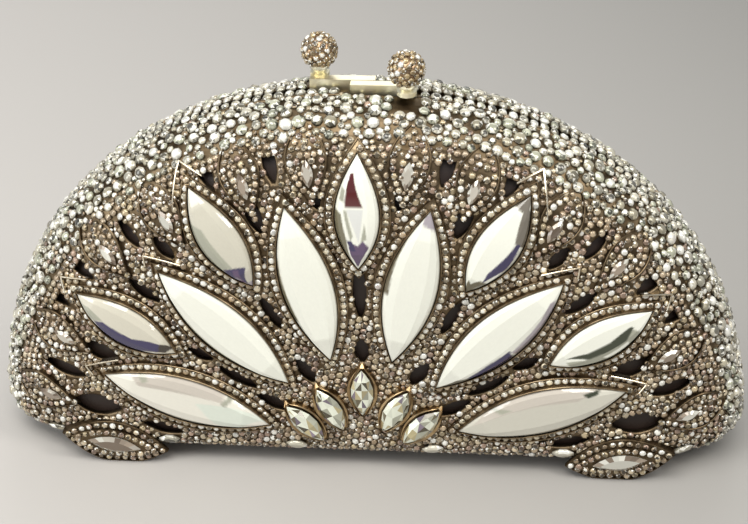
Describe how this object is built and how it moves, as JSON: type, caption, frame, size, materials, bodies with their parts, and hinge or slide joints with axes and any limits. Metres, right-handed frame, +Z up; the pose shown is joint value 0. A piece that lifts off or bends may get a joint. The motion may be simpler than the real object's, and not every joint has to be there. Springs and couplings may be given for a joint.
{
  "type": "half-moon crystal clutch bag",
  "caption": "Half-moon hard-shell evening clutch: two domed openwork metal shells set with a fan of marquise crystals, hinged along the bottom, with a ball clasp on top.",
  "frame": {"origin": "centre of the bounding box, on the surface that the four feet stand on", "axes": "+X to the right along the hinge, +Y to the back, +Z up; the front faces -Y"},
  "size_m": [0.2082, 0.0538, 0.1191],
  "materials": {
    "pave_gold": "antique gold casting under small set stones",
    "antique_gold": "antique gold plating",
    "polished_gold": "polished gold plating",
    "crystal": "faceted clear crystal with a foil back",
    "pave_ball": "gold ball covered with small set stones",
    "lining_satin": "bronze satin over a stiff tray"
  },
  "bodies": {
    "back_half": {"back_bud_crystal_1": "crystal", "back_bud_crystal_2": "crystal", "back_bud_crystal_3": "crystal", "back_bud_crystal_4": "crystal", "back_bud_crystal_5": "crystal", "back_clasp_arm": "polished_gold", "back_clasp_ball": "pave_ball", "back_foot_crystal_left": "crystal", "back_foot_crystal_right": "crystal", "back_foot_left": "pave_gold", "back_foot_right": "pave_gold", "back_frame": "polished_gold", "back_hinge_leaf_left": "antique_gold", "back_hinge_leaf_right": "antique_gold", "back_lining_tray": "lining_satin", "back_petal_crystal_01": "crystal", "back_petal_crystal_02": "crystal", "back_petal_crystal_03": "crystal", "back_petal_crystal_04": "crystal", "back_petal_crystal_05": "crystal", "back_petal_crystal_06": "crystal", "back_petal_crystal_07": "crystal", "back_petal_crystal_08": "crystal", "back_petal_crystal_09": "crystal", "back_petal_crystal_10": "crystal", "back_petal_crystal_11": "crystal", "back_shell": "pave_gold", "chain_lug_left": "antique_gold", "chain_lug_right": "antique_gold", "hinge_pin_left": "polished_gold", "hinge_pin_right": "polished_gold"},
    "front_half": {"front_bud_crystal_1": "crystal", "front_bud_crystal_2": "crystal", "front_bud_crystal_3": "crystal", "front_bud_crystal_4": "crystal", "front_bud_crystal_5": "crystal", "front_clasp_arm": "polished_gold", "front_clasp_ball": "pave_ball", "front_foot_crystal_left": "crystal", "front_foot_crystal_right": "crystal", "front_foot_left": "pave_gold", "front_foot_right": "pave_gold", "front_frame": "polished_gold", "front_hinge_leaf_left": "antique_gold", "front_hinge_leaf_right": "antique_gold", "front_lining_tray": "lining_satin", "front_petal_crystal_01": "crystal", "front_petal_crystal_02": "crystal", "front_petal_crystal_03": "crystal", "front_petal_crystal_04": "crystal", "front_petal_crystal_05": "crystal", "front_petal_crystal_06": "crystal", "front_petal_crystal_07": "crystal", "front_petal_crystal_08": "crystal", "front_petal_crystal_09": "crystal", "front_petal_crystal_10": "crystal", "front_petal_crystal_11": "crystal", "front_shell": "pave_gold"}
  },
  "joints": [
    {"name": "opening_hinge", "type": "hinge", "parent": "back_half", "child": "front_half", "pos_m": [0, 0, 0.0032], "axis": [1, 0, 0], "range_deg": [0, 70]}
  ]
}
